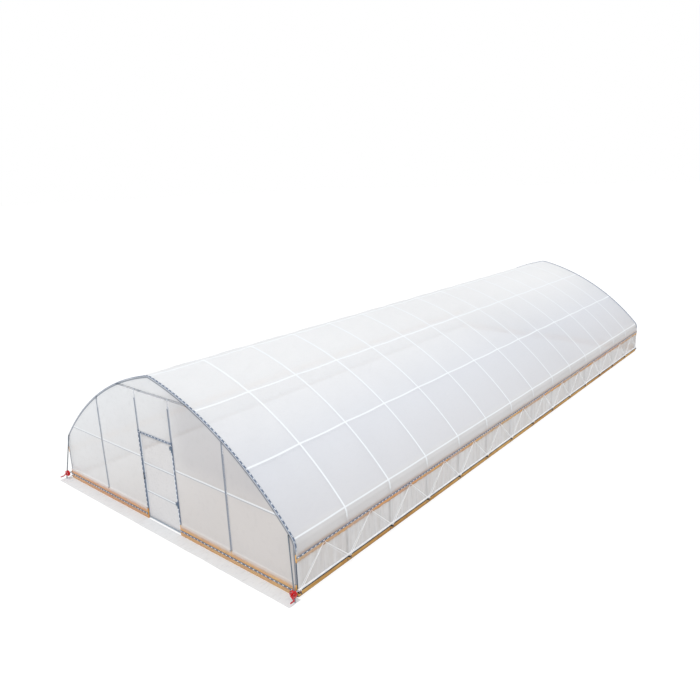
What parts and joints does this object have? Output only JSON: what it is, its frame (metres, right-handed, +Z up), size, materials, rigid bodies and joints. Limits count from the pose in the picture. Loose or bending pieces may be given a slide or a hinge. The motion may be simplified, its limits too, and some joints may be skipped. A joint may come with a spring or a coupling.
{
  "type": "polytunnel greenhouse",
  "caption": "Long tunnel greenhouse of steel hoops under translucent film, with timber base boards, roll-up sides, corner winches and a hinged door in the end wall.",
  "frame": {"origin": "on the ground, at the middle of the whole footprint", "axes": "+Z up, +Y along the tunnel from the door wall to the back wall, +X to the right seen from outside the door"},
  "size_m": [8.3, 20.0138, 3.4361],
  "materials": {
    "galvanized_tube": "galvanized, dull with a soft spangle",
    "bright_tube": "bright galvanized, seen white through the film",
    "clear_film": "translucent diffusing polythene film",
    "ground_film": "translucent polythene film, creased",
    "timber": "sawn softwood board",
    "lock_channel": "galvanized strip with coated spring wire",
    "winch_red": "red moulded housing",
    "crank_red": "red painted steel",
    "rope": "braided white cord",
    "clamp_black": "black painted steel",
    "base_rail": "dark blue painted tube",
    "roll_wrap": "film wound on a steel tube",
    "door_hardware": "dark painted steel",
    "door_tube": "galvanized square tube"
  },
  "bodies": {
    "tunnel": {"front_hoop": "galvanized_tube", "inner_hoops": "galvanized_tube", "back_hoop": "galvanized_tube", "ridge_purlin": "bright_tube", "upper_purlins": "bright_tube", "lower_purlins": "bright_tube", "knee_rails": "bright_tube", "left_hip_board": "timber", "right_hip_board": "timber", "left_hip_channel": "lock_channel", "right_hip_channel": "lock_channel", "left_base_board": "timber", "right_base_board": "timber", "left_base_rail": "base_rail", "right_base_rail": "base_rail", "left_rail_clamps": "clamp_black", "right_rail_clamps": "clamp_black", "left_curtain": "clear_film", "right_curtain": "clear_film", "left_roll_tube": "roll_wrap", "right_roll_tube": "roll_wrap", "left_rope": "rope", "right_rope": "rope", "left_guide_pole": "galvanized_tube", "right_guide_pole": "galvanized_tube", "left_winch": "winch_red", "right_winch": "winch_red", "roof_film": "clear_film", "front_film_left": "clear_film", "front_film_right": "clear_film", "front_film_over_door": "clear_film", "back_film": "clear_film", "front_arch_channel": "lock_channel", "back_arch_channel": "lock_channel", "front_posts": "galvanized_tube", "back_posts": "galvanized_tube", "front_girts": "bright_tube", "back_girt": "bright_tube", "front_collar": "galvanized_tube", "back_collar": "galvanized_tube", "door_header": "galvanized_tube", "door_threshold": "galvanized_tube", "door_channels": "lock_channel", "front_base_boards": "timber", "back_base_board": "timber", "front_base_channels": "lock_channel", "back_base_channel": "lock_channel", "front_skirt": "ground_film", "hinge_brackets": "door_hardware"},
    "door": {"door_leaf": "door_tube", "door_film": "clear_film", "hinge_straps": "door_hardware", "door_handle": "door_hardware"},
    "left_crank": {"left_crank": "crank_red"},
    "right_crank": {"right_crank": "crank_red"}
  },
  "joints": [
    {"name": "door_hinge", "type": "hinge", "parent": "tunnel", "child": "door", "pos_m": [0.574, -9.6873, 1.2], "axis": [0, 0, 1], "range_deg": [0, 105]},
    {"name": "left_crank_turn", "type": "hinge", "parent": "tunnel", "child": "left_crank", "pos_m": [-4.0486, -9.856, 0.1466], "axis": [0, 1, 0], "continuous": true},
    {"name": "right_crank_turn", "type": "hinge", "parent": "tunnel", "child": "right_crank", "pos_m": [4.0486, -9.856, 0.1466], "axis": [0, 1, 0], "continuous": true}
  ]
}
